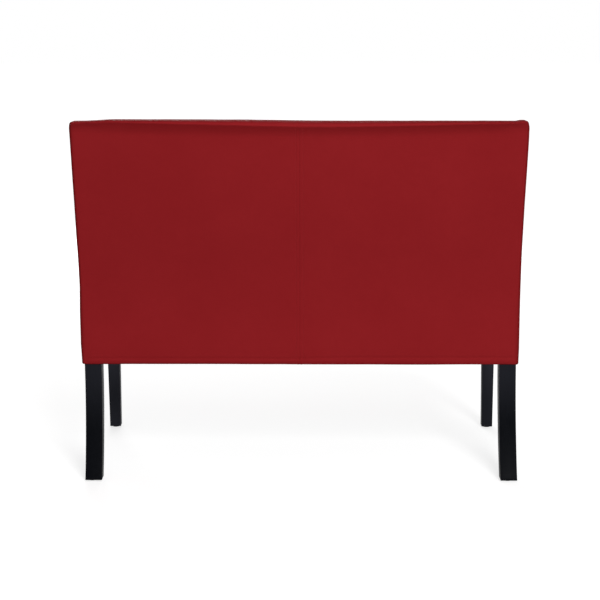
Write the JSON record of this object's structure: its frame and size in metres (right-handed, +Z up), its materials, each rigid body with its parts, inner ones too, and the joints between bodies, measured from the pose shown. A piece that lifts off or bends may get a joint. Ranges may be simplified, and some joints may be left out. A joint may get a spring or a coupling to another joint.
{
  "type": "two-seat sofa",
  "caption": "Armless upholstered settee on black wooden legs, with a raked back, a padded seat and a roll along the top of the back.",
  "frame": {"origin": "on the floor, under the middle of the sofa's box", "axes": "+X along the width, to the right as seen from the front; +Y from the front to the back, so the seat faces -Y; +Z up"},
  "size_m": [1.18, 0.6288, 0.975],
  "materials": {
    "red_leather": "fine-grained, low sheen",
    "black_wood": "black stain under satin lacquer",
    "frame_wood": "raw, sawn",
    "dowel_wood": "raw, turned",
    "hardboard": "smooth hardboard",
    "steel": "zinc plated",
    "glide_plastic": "moulded nylon",
    "webbing": "woven",
    "felt": "pressed felt",
    "foam": "open-cell foam",
    "wadding": "fibre wadding",
    "dust_cloth": "spun-bonded cloth"
  },
  "bodies": {
    "root": {"rear_leg_left": "black_wood", "rear_leg_right": "black_wood", "front_leg_left": "black_wood", "front_leg_right": "black_wood", "seat_rail_front": "frame_wood", "seat_rail_rear": "frame_wood", "seat_rail_left": "frame_wood", "seat_rail_right": "frame_wood", "seat_bearer": "frame_wood", "corner_block_front_left": "frame_wood", "corner_block_front_right": "frame_wood", "corner_block_rear_left": "frame_wood", "corner_block_rear_right": "frame_wood", "corner_screws": "steel", "frame_dowels": "dowel_wood", "back_top_rail": "frame_wood", "back_lower_rail": "frame_wood", "back_centre_post": "frame_wood", "foot_glide_front_left": "glide_plastic", "foot_glide_front_right": "glide_plastic", "foot_glide_rear_left": "glide_plastic", "foot_glide_rear_right": "glide_plastic", "seat_webbing_cross": "webbing", "seat_webbing_long": "webbing", "back_webbing": "webbing", "webbing_staples": "steel", "seat_deck_felt": "felt", "seat_foam": "foam", "seat_wadding": "wadding", "back_foam": "foam", "back_wadding": "wadding", "back_liner": "hardboard", "border_padding_front": "wadding", "border_padding_left": "wadding", "border_padding_right": "wadding", "back_padding_left": "wadding", "back_padding_right": "wadding", "seat_cover_left": "red_leather", "seat_cover_right": "red_leather", "seat_front_left": "red_leather", "seat_front_right": "red_leather", "seat_side_left": "red_leather", "seat_side_right": "red_leather", "inside_back_left": "red_leather", "inside_back_right": "red_leather", "side_panel_left": "red_leather", "side_panel_right": "red_leather", "top_band_left": "red_leather", "top_band_right": "red_leather", "outside_back_left": "red_leather", "outside_back_right": "red_leather", "dust_cover": "dust_cloth"}
  },
  "joints": []
}
